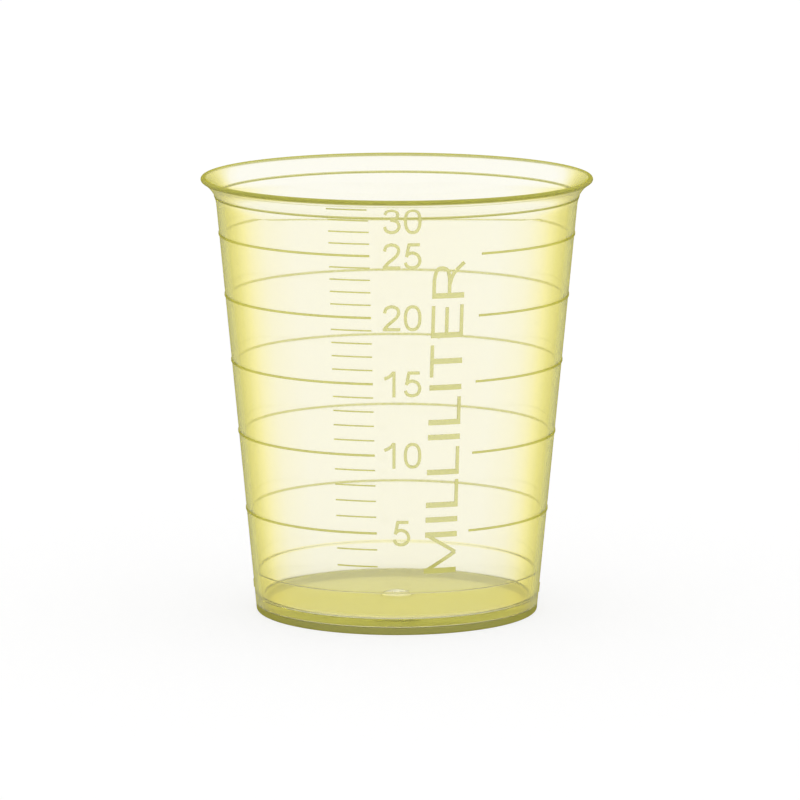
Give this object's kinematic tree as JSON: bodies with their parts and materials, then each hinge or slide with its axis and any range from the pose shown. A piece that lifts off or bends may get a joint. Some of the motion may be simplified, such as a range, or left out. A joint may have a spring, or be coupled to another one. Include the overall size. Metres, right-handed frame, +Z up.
{
  "type": "medicine cup",
  "caption": "Tapered see-through plastic medicine cup with a flared lip, a foot ring, raised graduation rings and a ladder of millilitre marks.",
  "frame": {"origin": "centre of the foot ring on the surface that the cup stands on", "axes": "+Z up along the cup's axis through the mouth; the scale faces -Y; +X to the right as the scale is read"},
  "size_m": [0.0378, 0.0378, 0.0424],
  "materials": {
    "cup_plastic": "glossy see-through polypropylene, tinted pale yellow"
  },
  "bodies": {
    "root": {"cup": "cup_plastic"}
  },
  "joints": []
}
